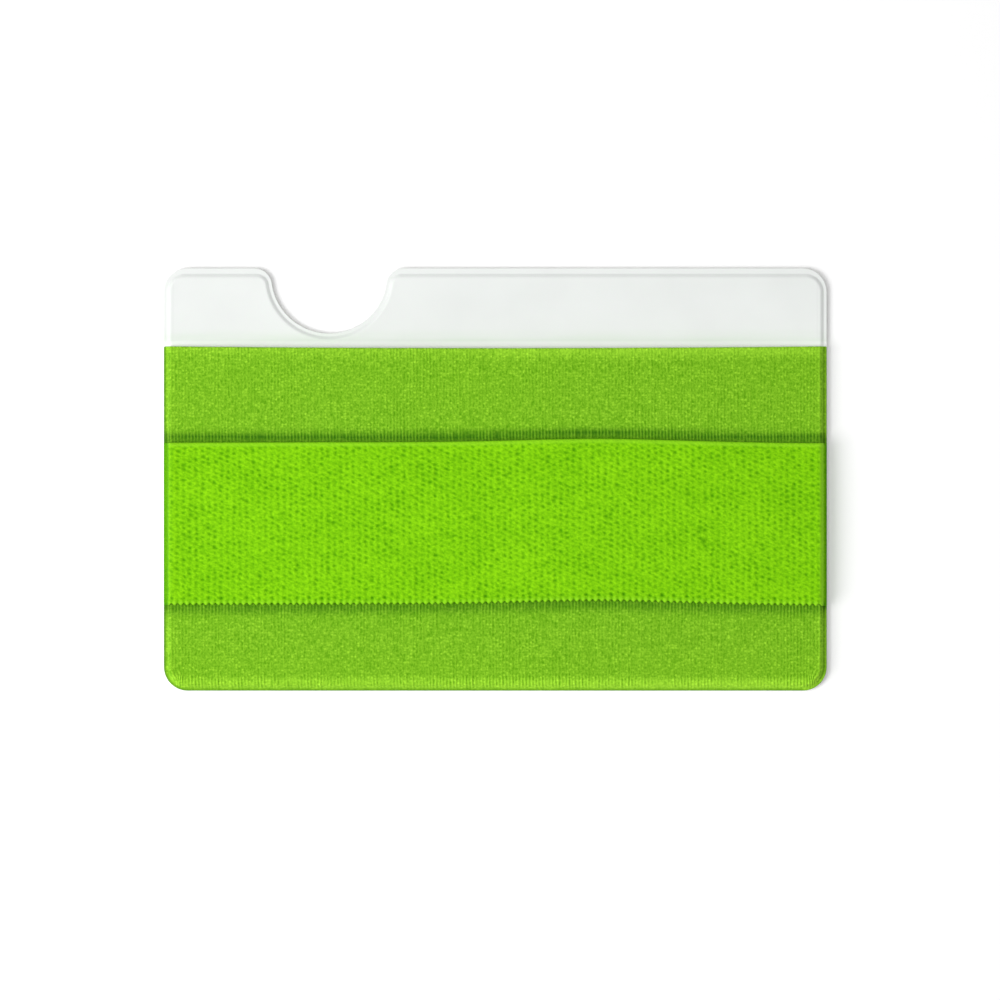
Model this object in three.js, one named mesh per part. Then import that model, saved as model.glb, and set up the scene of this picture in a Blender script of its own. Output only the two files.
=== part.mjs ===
// Stick-on phone card holder: a frosted plastic plate with a thumb notch, a stretch-cloth pocket and an
// elastic finger strap, on an adhesive pad with its release liner. Millimetres. It lies on its back, with
// +Z out of its front and +Y towards the pocket's mouth, and the origin is under the middle of its back.
import * as THREE from "three";

const { lerp, smoothstep } = THREE.MathUtils;

// Die-cut blank, the outline that every layer shares
const HOLDER_WIDTH = 96;
const HOLDER_HEIGHT = 61.2;
const CORNER_RADIUS = 3.5;

// Thumb notch in the top edge, with a rounded lip on each side
const NOTCH_RADIUS = 8.33;
const NOTCH_FROM_LEFT = 23.95;
const NOTCH_DROP = 1.1;
const NOTCH_LIP_RADIUS = 2.6;

// Release liner and adhesive pad on the back
const LINER_THICKNESS = 0.1;
const PAD_THICKNESS = 0.2;
const PAD_MARGIN = 1.4;

// Back plate, pressed thin along a rim that follows its whole edge and is wider along the top
const PLATE_THICKNESS = 0.6;
const RIM_THICKNESS = 0.35;
const RIM_WIDTH = 0.5;
const TOP_RIM_WIDTH = 0.87;
const RIM_SLOPE = 0.25;
const PLATE_EDGE_ROUND = 0.08;

// Pocket panel, cloth folded double over its mouth and welded to the rim on three sides
const MOUTH_DROP = 11.35;
const MOUTH_SAG = 0.28;
const PANEL_THICKNESS = 0.65;
const PANEL_WELD_THICKNESS = 0.3;
const PANEL_SHOULDER = 0.8;
const MOUTH_SWELL = 0.7;
const STRAP_SEAT_SWELL = 0.2;
const TAIL_SWELL = 0.35;

// Finger strap, woven elastic whose ends are welded over the panel's side seams
const STRAP_WIDTH = 23.3;
const STRAP_DROP = 25.3;
const STRAP_BOW = 0.45;
const STRAP_THICKNESS = 1;
const STRAP_EDGE_THICKNESS = 0.8;
const STRAP_WELD_THICKNESS = 0.35;
const STRAP_SHOULDER = 1.1;

// Weave of the strap: a rib for each turn of the weft, which ends in a small loop at the lower edge
const WEFT_PITCH = 0.908;
const WEFT_RELIEF = 0.12;
const PICOT_DEPTH = 0.35;

// Gap between layers that lie loose on each other, and how far a weld stays inside the one below it
const LOOSE_GAP = 0.3;
const WELD_SETBACK = 0.1;

// Fineness of the meshes
const CORNER_STEPS = 12;
const LIP_STEPS = 9;
const NOTCH_STEPS = 40;
const FIELD_COLUMNS = 11;
const FIELD_ROWS = 12;
const SHOULDER_STEPS = 2;
const TURN_STEPS = 3;
const FOLD_POINTS = 6;
const STRAP_ROWS = 3;
const STRAP_EDGE_POINTS = 2;

// Places that follow from the sizes
const HALF_WIDTH = HOLDER_WIDTH / 2;
const HALF_HEIGHT = HOLDER_HEIGHT / 2;
const PLATE_BOTTOM = LINER_THICKNESS + PAD_THICKNESS;
const RIM_TOP = PLATE_BOTTOM + RIM_THICKNESS;
const PLATE_TOP = PLATE_BOTTOM + PLATE_THICKNESS;
const PANEL_WELD_INSET = RIM_WIDTH - WELD_SETBACK;
const STRAP_WELD_INSET = PANEL_WELD_INSET - WELD_SETBACK;
const STRAP_FULL_INSET = STRAP_WELD_INSET + STRAP_SHOULDER;
const PLATE_FULL_INSET = RIM_WIDTH + RIM_SLOPE;
const PANEL_FULL_INSET = Math.max(PANEL_WELD_INSET + PANEL_SHOULDER, PLATE_FULL_INSET);
const STRAP_MIDDLE = HALF_HEIGHT - STRAP_DROP - STRAP_WIDTH / 2;

// Points along an arc, both ends included.
function arc(x, y, radius, from, to, steps) {
  return Array.from({ length: steps + 1 }, (_, i) => {
    const angle = lerp(from, to, i / steps);
    return new THREE.Vector2(x + radius * Math.cos(angle), y + radius * Math.sin(angle));
  });
}

// Outline of the blank, counter-clockwise, drawn inside its own edge: so far along the top, and so far
// everywhere else.
function blankOutline(inset, topInset) {
  const corner = CORNER_RADIUS - inset;
  const topCorner = CORNER_RADIUS - topInset;
  const lip = NOTCH_LIP_RADIUS - topInset;
  const notch = NOTCH_RADIUS + inset;
  const cornerX = HALF_WIDTH - CORNER_RADIUS;
  const topCornerX = HALF_WIDTH - inset - topCorner;
  const cornerY = HALF_HEIGHT - CORNER_RADIUS;
  const notchX = NOTCH_FROM_LEFT - HALF_WIDTH;
  const notchY = HALF_HEIGHT - NOTCH_DROP;
  const lipY = HALF_HEIGHT - NOTCH_LIP_RADIUS;
  const lipX = Math.sqrt((notch + lip) ** 2 - (lipY - notchY) ** 2);
  const tilt = Math.atan2(notchY - lipY, lipX);
  const turn = Math.PI / 2;
  return [
    arc(topCornerX, cornerY, topCorner, 0, turn, CORNER_STEPS),
    arc(notchX + lipX, lipY, lip, turn, 2 * turn - tilt, LIP_STEPS),
    arc(notchX, notchY, notch, -tilt, tilt - 2 * turn, NOTCH_STEPS).slice(1, -1),
    arc(notchX - lipX, lipY, lip, tilt, turn, LIP_STEPS),
    arc(-topCornerX, cornerY, topCorner, turn, 2 * turn, CORNER_STEPS),
    arc(-cornerX, -cornerY, corner, 2 * turn, 3 * turn, CORNER_STEPS),
    arc(cornerX, -cornerY, corner, 3 * turn, 4 * turn, CORNER_STEPS),
  ].flat();
}

// Closed solid through a row of loops with equally many points, its two ends shut by the cap's triangles.
// Each loop runs counter-clockwise, seen from the far end of the row.
function loft(loops, cap) {
  const count = loops[0].length;
  const last = (loops.length - 1) * count;
  const indices = [];
  for (let start = 0; start < last; start += count) {
    for (let j = 0; j < count; j++) {
      const k = (j + 1) % count;
      indices.push(start + j, start + k, start + count + k);
      indices.push(start + j, start + count + k, start + count + j);
    }
  }
  for (const [a, b, c] of cap) {
    indices.push(a, c, b, last + a, last + b, last + c);
  }
  const geometry = new THREE.BufferGeometry().setFromPoints(loops.flat());
  geometry.setIndex(indices);
  geometry.computeVertexNormals();
  return geometry;
}

// Flat layer of the blank: rings [inset, inset along the top, height] from its underside to its top.
function layer(rings) {
  const [[inset, topInset]] = rings;
  const cap = THREE.ShapeUtils.triangulateShape(blankOutline(inset, topInset), []);
  const loops = rings.map(([side, top, z]) =>
    blankOutline(side, top).map((p) => new THREE.Vector3(p.x, p.y, z)),
  );
  return loft(loops, cap);
}

// Cap of a flat loop that goes out along one side and back along the other.
function zipCap(count) {
  const triangles = [];
  for (let k = 0; k < count / 2 - 1; k++) {
    triangles.push([k, k + 1, count - 2 - k], [k, count - 2 - k, count - 1 - k]);
  }
  return triangles;
}

// Distances inside the edge where the cloth layers change: weld, slope, shoulder and round corner.
function edgeInsets() {
  const insets = [0, STRAP_WELD_INSET, PANEL_WELD_INSET];
  for (let i = 1; i <= SHOULDER_STEPS; i++) {
    insets.push(lerp(PANEL_WELD_INSET, PLATE_FULL_INSET, i / SHOULDER_STEPS));
  }
  const turnEnd = Math.max(CORNER_RADIUS, PANEL_FULL_INSET + PANEL_SHOULDER);
  for (let i = 0; i <= TURN_STEPS; i++) {
    insets.push(lerp(PANEL_FULL_INSET, turnEnd, i / TURN_STEPS));
  }
  return insets.filter((inset, i) => i === 0 || inset > insets[i - 1]);
}

// Columns of the cloth layers from the left edge to the right, closer together near the edges.
function columns() {
  const insets = edgeInsets();
  const field = HALF_WIDTH - insets.at(-1);
  const left = insets.map((inset) => inset - HALF_WIDTH);
  const middle = Array.from({ length: 2 * FIELD_COLUMNS - 1 }, (_, i) =>
    lerp(-field, field, (i + 1) / (2 * FIELD_COLUMNS)),
  );
  return [...left, ...middle, ...left.map((x) => -x).reverse()];
}

// Height of the pocket's mouth line at a place across the holder.
function mouthLine(x) {
  return HALF_HEIGHT - MOUTH_DROP - MOUTH_SAG * (1 - (x / HALF_WIDTH) ** 2);
}

// Middle line of the finger strap, which bows a little towards the mouth.
function strapLine(x) {
  return STRAP_MIDDLE + STRAP_BOW * (1 - (x / HALF_WIDTH) ** 2);
}

// Distance of a point of the panel inside its three welded edges.
function weldedInset(x, y) {
  return Math.min(HALF_WIDTH - Math.abs(x), HALF_HEIGHT + y);
}

// How far the panel stands off the plate beyond the loose gap: most at the mouth, least under the strap.
function swell(x, y) {
  const field = HALF_WIDTH - PLATE_FULL_INSET;
  const across = 1 - Math.min(Math.abs(x) / field, 1) ** 4;
  const strapTop = strapLine(x) + STRAP_WIDTH / 2;
  const strapBottom = strapLine(x) - STRAP_WIDTH / 2;
  const bottom = PLATE_FULL_INSET - HALF_HEIGHT;
  const tail = lerp(bottom, strapBottom, 0.5);
  const knots = [
    [bottom, 0],
    [tail, TAIL_SWELL],
    [strapBottom, STRAP_SEAT_SWELL],
    [strapTop, STRAP_SEAT_SWELL],
    [mouthLine(x), MOUTH_SWELL],
  ];
  const height = Math.min(y, mouthLine(x));
  const next = Math.max(1, knots.findIndex(([top]) => height <= top));
  const [low, from] = knots[next - 1];
  const [high, to] = knots[next];
  return across * lerp(from, to, smoothstep(height, low, high));
}

// Underside and thickness of the panel at a point of its sharp-cornered plan.
function panelUnderside(x, y) {
  const rise = smoothstep(weldedInset(x, y), PANEL_WELD_INSET, PLATE_FULL_INSET);
  return RIM_TOP + rise * (PLATE_TOP + LOOSE_GAP + swell(x, y) - RIM_TOP);
}

function panelThickness(x, y) {
  const rise = smoothstep(weldedInset(x, y), PANEL_WELD_INSET, PANEL_FULL_INSET);
  return lerp(PANEL_WELD_THICKNESS, PANEL_THICKNESS, rise);
}

function panelTop(x, y) {
  return panelUnderside(x, y) + panelThickness(x, y);
}

// Carries a point of the sharp-cornered plan onto the blank's round bottom corners. A line parallel to
// the edges stays parallel to them round the bend.
function bend(x, y, z) {
  const cornerX = HALF_WIDTH - CORNER_RADIUS;
  const cornerY = HALF_HEIGHT - CORNER_RADIUS;
  const beyondX = Math.abs(x) - cornerX;
  const beyondY = -y - cornerY;
  if (beyondX <= 0 || beyondY <= 0) return new THREE.Vector3(x, y, z);
  const scale = Math.max(beyondX, beyondY) / Math.hypot(beyondX, beyondY);
  return new THREE.Vector3(
    Math.sign(x) * (cornerX + beyondX * scale),
    -(cornerY + beyondY * scale),
    z,
  );
}

// Section of the pocket panel at one column: out along its underside, round the folded mouth and back.
function panelSection(x) {
  const fold = panelThickness(x, mouthLine(x)) / 2;
  const foldLine = mouthLine(x) - fold;
  const low = edgeInsets().map((inset) => inset - HALF_HEIGHT);
  const rows = [...low];
  for (let i = 1; i <= FIELD_ROWS; i++) {
    rows.push(lerp(low.at(-1), foldLine, i / FIELD_ROWS));
  }
  const middle = panelUnderside(x, foldLine) + fold;
  const turn = Math.PI / 2;
  const nose = arc(foldLine, middle, fold, -turn, turn, FOLD_POINTS + 1).slice(1, -1);
  return [
    ...rows.map((y) => bend(x, y, panelUnderside(x, y))),
    ...nose.map((p) => new THREE.Vector3(x, p.x, p.y)),
    ...rows.reverse().map((y) => bend(x, y, panelTop(x, y))),
  ];
}

// Underside of the strap at a point: on the panel in the weld, loose above it further in.
function strapUnderside(x, y) {
  const loose = smoothstep(weldedInset(x, y), STRAP_WELD_INSET, PLATE_FULL_INSET);
  return panelTop(x, y) + loose * LOOSE_GAP;
}

// Columns of the strap as [place, dip]: smooth in the welds, and between them a crest and a dip for each
// turn of the weft.
function strapColumns() {
  const smooth = edgeInsets().filter((inset) => inset <= PANEL_FULL_INSET);
  const left = smooth.map((inset) => [inset - HALF_WIDTH, 0]);
  const turns = Math.floor((HOLDER_WIDTH - 2 * PANEL_FULL_INSET) / WEFT_PITCH) - 1;
  const woven = Array.from({ length: 2 * turns + 1 }, (_, i) => {
    const dip = (i + 1) % 2;
    return [(i - turns) * (WEFT_PITCH / 2), dip];
  });
  return [...left, ...woven, ...left.map(([x, dip]) => [-x, dip]).reverse()];
}

// Section of the finger strap at one column: out along its underside, and back over its crowned top.
function strapSection([x, dip]) {
  const rise = smoothstep(weldedInset(x, strapLine(x)), STRAP_WELD_INSET, STRAP_FULL_INSET);
  const edge = lerp(STRAP_WELD_THICKNESS, STRAP_EDGE_THICKNESS, rise);
  const crown = lerp(STRAP_WELD_THICKNESS, STRAP_THICKNESS, rise) - edge;
  const round = edge / 2;
  const flat = STRAP_WIDTH / 2 - round;
  const picot = dip * PICOT_DEPTH - flat;
  const rows = Array.from({ length: STRAP_ROWS + 1 }, (_, i) => lerp(picot, flat, i / STRAP_ROWS));
  const turn = Math.PI / 2;
  const under = (y) => strapUnderside(x, strapLine(x) + y);
  const rounded = (y, from, to) =>
    arc(strapLine(x) + y, under(y) + round, round, from, to, STRAP_EDGE_POINTS + 1).slice(1, -1);
  const point = (y, z) => new THREE.Vector3(x, y, z);
  const farEdge = rounded(flat, -turn, turn).map((p) => point(p.x, p.y));
  const nearEdge = rounded(picot, turn, 3 * turn).map((p) => point(p.x, p.y));
  const half = STRAP_EDGE_POINTS / 2;
  return [
    ...nearEdge.slice(half),
    ...rows.map((y) => point(strapLine(x) + y, under(y))),
    ...farEdge,
    ...rows.toReversed().map((y) => {
      const domed = crown * (1 - (y / flat) ** 2) - dip * WEFT_RELIEF;
      return point(strapLine(x) + y, under(y) + edge + domed);
    }),
    ...nearEdge.slice(0, half),
  ];
}

function piece(name, geometry, material) {
  const mesh = new THREE.Mesh(geometry, new THREE.MeshStandardMaterial(material));
  mesh.name = name;
  return mesh;
}

function releaseLiner() {
  const geometry = layer([
    [0, 0, 0],
    [0, 0, LINER_THICKNESS],
  ]);
  return piece("release_liner", geometry, { color: 0xf2efe6, roughness: 0.45, metalness: 0 });
}

function adhesivePad() {
  const geometry = layer([
    [PAD_MARGIN, PAD_MARGIN, LINER_THICKNESS],
    [PAD_MARGIN, PAD_MARGIN, PLATE_BOTTOM],
  ]);
  return piece("adhesive_pad", geometry, { color: 0xe9ebe8, roughness: 0.7, metalness: 0 });
}

function backPlate() {
  const geometry = layer([
    [0, 0, PLATE_BOTTOM],
    [0, 0, RIM_TOP - PLATE_EDGE_ROUND],
    [PLATE_EDGE_ROUND, PLATE_EDGE_ROUND, RIM_TOP],
    [RIM_WIDTH, TOP_RIM_WIDTH, RIM_TOP],
    [PLATE_FULL_INSET, TOP_RIM_WIDTH + RIM_SLOPE, PLATE_TOP],
  ]);
  return piece("back_plate", geometry, {
    color: 0xebeeeb,
    roughness: 0.3,
    metalness: 0,
    transparent: true,
    opacity: 0.85,
  });
}

function pocketPanel() {
  const sections = columns().map(panelSection);
  const geometry = loft(sections, zipCap(sections[0].length));
  return piece("pocket_panel", geometry, { color: 0x7bbc22, roughness: 0.65, metalness: 0 });
}

function fingerStrap() {
  const sections = strapColumns().map(strapSection);
  const geometry = loft(sections, zipCap(sections[0].length));
  return piece("finger_strap", geometry, { color: 0x80cb11, roughness: 0.8, metalness: 0 });
}

const backing = new THREE.Group();
backing.add(releaseLiner(), adhesivePad());

const pocket = new THREE.Group();
pocket.add(backPlate(), pocketPanel(), fingerStrap());

const cardHolder = new THREE.Group();
cardHolder.name = "card_holder";
cardHolder.add(backing, pocket);

export default cardHolder;
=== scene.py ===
"""Stick-on phone card holder, dressed round its fixed frame: a frosted back plate, a stretch-cloth pocket,
a woven finger strap with a looped lower edge, an adhesive pad and a release liner, on a pale floor."""
import math

import bmesh
import bpy
from bpy.props import FloatProperty, FloatVectorProperty, PointerProperty
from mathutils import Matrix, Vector, noise


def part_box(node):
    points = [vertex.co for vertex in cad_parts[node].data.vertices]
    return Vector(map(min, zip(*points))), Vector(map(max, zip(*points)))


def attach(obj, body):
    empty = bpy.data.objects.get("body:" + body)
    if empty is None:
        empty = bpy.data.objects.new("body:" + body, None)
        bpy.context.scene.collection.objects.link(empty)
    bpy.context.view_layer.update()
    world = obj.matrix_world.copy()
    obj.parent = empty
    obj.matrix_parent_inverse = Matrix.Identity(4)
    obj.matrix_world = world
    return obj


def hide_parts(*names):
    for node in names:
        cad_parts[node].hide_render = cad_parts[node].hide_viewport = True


bl_info = {
    "name": "Phone card holder",
    "version": (1, 0, 0),
    "blender": (4, 5, 0),
    "location": "3D View > Sidebar > Card holder",
    "description": "Builds the looks of a stick-on phone card holder",
    "category": "Object",
}

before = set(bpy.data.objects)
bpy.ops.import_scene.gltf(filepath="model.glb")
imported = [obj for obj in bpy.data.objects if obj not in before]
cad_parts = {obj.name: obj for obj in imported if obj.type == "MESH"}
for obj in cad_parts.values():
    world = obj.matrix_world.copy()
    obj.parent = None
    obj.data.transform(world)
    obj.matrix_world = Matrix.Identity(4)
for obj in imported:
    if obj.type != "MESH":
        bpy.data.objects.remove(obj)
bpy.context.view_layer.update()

# Places that the frame gives, in metres
PLATE_LOW, PLATE_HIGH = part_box("back_plate")
PANEL_LOW, PANEL_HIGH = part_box("pocket_panel")
STRAP_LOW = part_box("finger_strap")[0]
PAD_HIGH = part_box("adhesive_pad")[1]
HALF_WIDTH = PLATE_HIGH.x
HALF_HEIGHT = PLATE_HIGH.y
RIM_TOP = PANEL_LOW.z
PLATE_TOP = PLATE_HIGH.z

MM = 0.001
TURN = math.tau

# How fine the meshes are, in steps, rows and columns
MERGE = 1e-7
CORNER_STEPS = 20
LIP_STEPS = 14
NOTCH_STEPS = 72
POCKET_ROWS = 84
POCKET_UNDER_ROWS = 18
NOSE_STEPS = 8
COLUMNS_PER_RIB = 4
STRAP_COLUMNS_PER_PITCH = 5
STRAP_ROWS = 150
STRAP_UNDER_ROWS = 12
SELVEDGE_STEPS = 6

# Cut edges of cloth and strap, and the room that the cloth keeps over the rim's slope
CLOTH_SETBACK = 0.05 * MM
CLOTH_EDGE_ROUND = 0.12 * MM
EDGE_LEFT = 0.3
SLOPE_ROOM = 0.1 * MM

# The strap's bow: what it has all along, and how far its right end drops
EVEN_BOW = 0.1 * MM
END_DROP = 0.08 * MM

# The line that the weld presses into the cloth, measured from the cloth's edge
WELD_LINE_LEFT = 0.22 * MM
WELD_LINE_RIGHT = 0.45 * MM
WELD_LINE_FOOT = 0.22 * MM
WELD_LINE_WIDTH = 0.14 * MM

# The painted shade beside the strap, measured from its edges: a band above it, and a weaker, wider band
# below
STRAP_SHADE_ABOVE = 0.75 * MM
STRAP_SHADE_ABOVE_WIDTH = 0.65 * MM
STRAP_SHADE_BELOW = 0.6 * MM
STRAP_SHADE_BELOW_WIDTH = 0.95 * MM
STRAP_SHADE_BELOW_SHARE = 0.6

# Bands of the cloth: its gathered foot, its paler margin and hem, which all carry painted light, and the
# pinch at each end of the strap, which carries painted shade
FOOT_START = 1.5 * MM
FOOT_END = 2.4 * MM
GATHER_START = 0.35 * MM
GATHER_END = 0.7 * MM
MARGIN_START = 0.7 * MM
MARGIN_END = 2.1 * MM
HEM_START = 0.3 * MM
HEM_END = 1.3 * MM
PINCH_SHADE_HEIGHT = 0.42 * MM
PINCH_SHADE_WIDTH = 0.42 * MM

# The knitted ribs: their wandering, how much they differ, and how much more they stand where drawn in
RIB_WANDER = 0.12
RIB_MEAN = 0.75
RIB_LEAST = 0.15
RIB_LONE = 0.8
RIB_PATCH = 0.5
RIB_AT_TUCK = 1.3
RIB_AT_MARGIN = 0.5
RIB_AT_FOOT = 2.2
PUCKER_HEIGHT = 0.03 * MM
PUCKER_ACROSS = 0.006
PUCKER_ALONG = 0.009

# How light or dark the cloth's bands are: painted light on the margin, hem and foot, the pressed line and
# flange darker, painted shade beside the strap and in the pinches. Of two values, the second is for the
# right, where the margin's painted light is stronger because the shoulder there lies in shade
MARGIN_PAINTED_LIGHT = (0.6, 1.2)
HEM_PAINTED_HIGHLIGHT = 0.7
FOOT_PAINTED_LIGHT = 1.3
CREST_SHARE = 0.5
WELD_LINE_DARK = (0.66, 0.2)
FLANGE_DARK = (0.3, 0.15)
STRAP_SHADE_DARK = 1.2
STRAP_SHADE_DARKEST = 0.95
PINCH_SHADE_DARK = 0.8

# The weave's pits: their size, their slant, and how far each one is shifted and turned by chance
PIT_LENGTH = 0.27 * MM
PIT_WIDTH = 0.2 * MM
PIT_SLANT = -0.35
PIT_TURN = 1.1
PIT_SHIFT_ACROSS = 0.26
PIT_SHIFT_ALONG = 0.32

# The strap's looped lower edge and the row of holes over it, measured from the edge
FOOT_REACH = 0.16 * MM
FOOT_DROP = 0.25 * MM
HOLE_HEIGHT = 0.9 * MM
HOLE_ACROSS = 0.24 * MM
HOLE_ALONG = 0.2 * MM
HOLE_DEPTH = 0.6
GAP_HEIGHT = 0.2 * MM
GAP_REACH = 0.38 * MM
GAP_DEPTH = 0.6
BEAD_HEIGHT = 0.22 * MM
BEAD_REACH = 0.28 * MM
# The loops are painted paler: partly their own paler yarn, partly a painted highlight on their raised tops.
BEAD_LIGHT = 0.85
BEAD_RELIEF = 0.1 * MM
BEAD_TOP = 0.15 * MM
BEAD_ROUND = 0.25 * MM

# The strap's yarns, its plain upper edge with a painted highlight along it, a painted light near each end,
# stronger at the right where the shoulder lies in shade, and its pressed ends, darker cloth whose band
# reaches further in on the left, a painted shade over the shoulder that faces the light
YARN_RELIEF = 0.05 * MM
YARN_ACROSS = 0.0005
YARN_SLANT = 0.0012
YARN_ALONG = 0.00032
PLAIN_TOP_START = -0.15 * MM
PLAIN_TOP_END = 0.3 * MM
PLAIN_FOOT_START = 0.3 * MM
PLAIN_FOOT_END = 0.7 * MM
TOP_EDGE_HIGHLIGHT = 0.45
TOP_EDGE_HIGHLIGHT_WIDTH = 0.22 * MM
END_PAINTED_LIGHT = (0.15, 0.75)
END_PAINTED_LIGHT_INSET = (1.1 * MM, 0.85 * MM)
END_PAINTED_LIGHT_WIDTH = 0.28 * MM
PRESS_START = (0.5 * MM, 0.3 * MM)
PRESS_END = (1.05 * MM, 0.5 * MM)
END_GROOVE_INSET = 0.3 * MM
END_GROOVE_WIDTH = 0.16 * MM

# How dark the strap's pits, pressed ends, pinched corners and one small smudge are. In the pits, holes and
# gaps the darkness is painted shade over the hollows cut into the mesh, and at the pinched corners it is
# painted shade; the pressed ends are darker cloth
PIT_SHADE_DARK = 0.72
PRESS_DARK = 0.6
STRAP_PINCH_SHADE_DARK = 0.9
SMUDGE_DARK = 0.8
SMUDGE = (30.07 * MM, -8.91 * MM)
SMUDGE_RADIUS = 0.42 * MM

# The plastic: its scattering, a painted shadow of the hem tinged green like light bounced off the cloth, a
# painted light right at the hem, and the pad's edge seen through it
SCATTER = (0.35 * MM, 0.42 * MM, 0.35 * MM)
HEM_SHADE_START = 2.6 * MM
HEM_SHADE_END = 0.6 * MM
HEM_LIT_START = 0.9 * MM
HEM_LIT_END = 0.1 * MM
PAD_LINE_WIDTH = 0.22 * MM
PAD_LINE_DARK = 0.3

# What each part weighs in the tone of knit and weave, and the tones at which they are darkest and lightest
# The knit's speckle is a painted satin sheen, and the weave's pit weight is painted shade in its pits.
KNIT_RIB, KNIT_SHEEN_SPECKLE, KNIT_FINE, KNIT_STITCH = 0.25, 1.4, 0.8, 0.75
KNIT_TONES = (0.85, 1.69)
WEAVE_YARN, WEAVE_FIBRE, WEAVE_PATCH, WEAVE_PIT_SHADE = 1.2, 0.8, 0.35, -0.35
WEAVE_TONES = (0.55, 1.58)
YARN_TURN = -0.45
YARN_GRAIN = (0.5 * MM, 0.3 * MM, 1 * MM)

# The stage. Each light has its name, place, size in metres and power in watts
FLOOR_HALF = 1.5
FLOOR_GAP = 0.02 * MM
SENSOR = 36
WORLD_LIGHT = 0.36
LIGHTS = [
    ("key", (-0.549, -0.192, 0.549), 0.46, 4.7),
    ("overhead", (-0.15, 0.15, 1.0), 0.9, 3.9),
]


def length(name, description, millimetres):
    """A size that a user can change, given in millimetres and held in metres."""
    size = millimetres * MM
    return FloatProperty(name=name, description=description, default=size, min=0, unit="LENGTH", precision=5)


def colour(name, description, *shade):
    """A colour that a user can change, in linear red, green and blue."""
    return FloatVectorProperty(
        name=name, description=description, default=shade, min=0, max=1, subtype="COLOR"
    )


def signed_length(name, description, millimetres):
    """A place along an axis, given in millimetres and held in metres."""
    return FloatProperty(name=name, description=description, default=millimetres * MM, unit="LENGTH")


class PlateSettings(bpy.types.PropertyGroup):
    """Sizes and colour of the frosted back plate."""

    corner_radius: length("Corner radius", "Radius of the blank's four corners", 3.5)
    notch_radius: length("Notch radius", "Radius of the thumb notch", 8.33)
    notch_from_left: length("Notch from left", "From the left edge to the middle of the notch", 23.95)
    notch_drop: length("Notch drop", "From the top edge down to the middle of the notch", 1.1)
    notch_lip: length("Notch lip", "Radius of the lip on each side of the notch", 2.6)
    rim_width: length("Rim width", "Width of the pressed rim along the sides, bottom and notch", 0.5)
    top_rim_width: length("Top rim width", "Width of the pressed rim along the top edge", 0.87)
    rim_slope: length("Rim slope", "Width of the slope from the rim up to the plate's face", 0.4)
    edge_round: length("Edge round", "Radius of the plate's outer edges", 0.08)
    bead_height: length("Bead height", "How far the pressed bead stands over the plate's face", 0.02)
    bead_width: length("Bead width", "Width of the bead inside the rim's slope", 0.55)
    tint: colour("Plastic", "Colour of the milky plastic", 0.76, 0.785, 0.765)
    # Painted shadow: a darker, greener plastic beside the hem stands in for the hem's shadow and the green
    # light bounced off the cloth.
    hem_shade_tint: colour("Plastic at the hem", "Its colour beside the cloth's green", 0.69, 0.76, 0.68)


class PocketSettings(bpy.types.PropertyGroup):
    """Sizes and colours of the stretch-cloth pocket."""

    thickness: length("Thickness", "Thickness of the doubled cloth", 0.65)
    weld_thickness: length("Weld thickness", "Thickness of the cloth where it is pressed to the rim", 0.3)
    weld_inset: length("Weld width", "Width of the pressed band along the sides and bottom", 0.4)
    shoulder: length("Shoulder", "Width over which the pressed cloth swells to full thickness", 0.7)
    mouth_sag: length("Mouth sag", "How far the middle of the mouth hangs below its ends", 0.28)
    mouth_swell: length("Mouth swell", "How far the cloth bulges at the mouth", 0.7)
    strap_seat_swell: length("Swell under strap", "How far the cloth bulges under the strap", 0.2)
    tail_swell: length("Tail swell", "How far the cloth bulges below the strap", 0.35)
    loose_gap: length("Loose gap", "Room between layers that lie loose on each other", 0.3)
    rib_pitch: length("Rib pitch", "From one knitted rib to the next", 0.478)
    rib_relief: length("Rib relief", "Height of a knitted rib", 0.035)
    course_pitch: length("Course pitch", "From one row of stitches to the next", 0.39)
    weld_groove: length("Weld groove", "Depth of the line that the weld presses into the cloth", 0.1)
    # The lighter tone is paler and bluer than the deeper one: it carries a painted satin sheen.
    deep: colour("Furrows", "Colour of the stretch cloth between its ribs", 0.095, 0.315, 0.001)
    light: colour("Ribs", "Colour of the stretch cloth on its ribs", 0.26, 0.575, 0.022)
    # The fold colour darkens the cloth's pressed line and flange, and is also painted shade beside the strap
    # and in the pinches.
    dark: colour("Folds", "Colour of the stretch cloth where it is pressed or tucked in", 0.025, 0.13, 0.001)


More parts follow.
